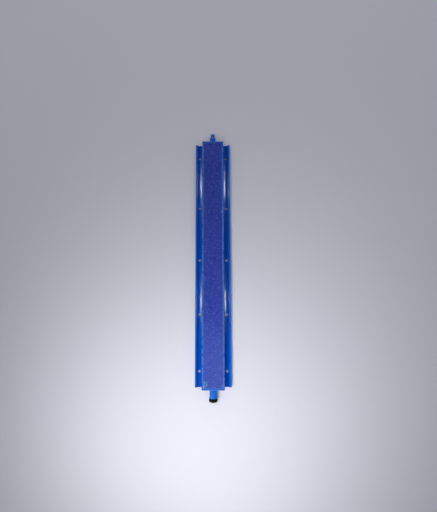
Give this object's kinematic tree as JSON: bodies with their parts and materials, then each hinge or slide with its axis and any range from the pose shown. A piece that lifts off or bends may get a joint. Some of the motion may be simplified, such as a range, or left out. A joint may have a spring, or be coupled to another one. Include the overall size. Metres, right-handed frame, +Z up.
{
  "type": "air stone bar",
  "caption": "Long submersible air stone bar: a porous mineral bar bonded into a flanged plastic tray, with a hose nipple at one end and a stoppered socket at the other.",
  "frame": {"origin": "middle of the tray's flat base, on the surface it lies on, under the centre of the mineral bar", "axes": "+Z up out of the mineral bar's face, +Y along the bar towards the air inlet nipple, +X across it"},
  "size_m": [0.0424, 0.3262, 0.0104],
  "materials": {
    "tray_plastic": "injection moulded, semi-gloss",
    "mineral_grit": "porous bonded grit, matt",
    "cured_adhesive": "cured adhesive, smooth",
    "stopper_rubber": "moulded, matt"
  },
  "bodies": {
    "tray_assembly": {"housing_tray": "tray_plastic", "stone_bar": "mineral_grit", "sealing_bead": "cured_adhesive"},
    "stopper": {"end_stopper": "stopper_rubber"}
  },
  "joints": [
    {"name": "stopper_pull", "type": "slide", "parent": "tray_assembly", "child": "stopper", "axis": [0, -1, 0], "range_m": [0, 0.012]}
  ]
}
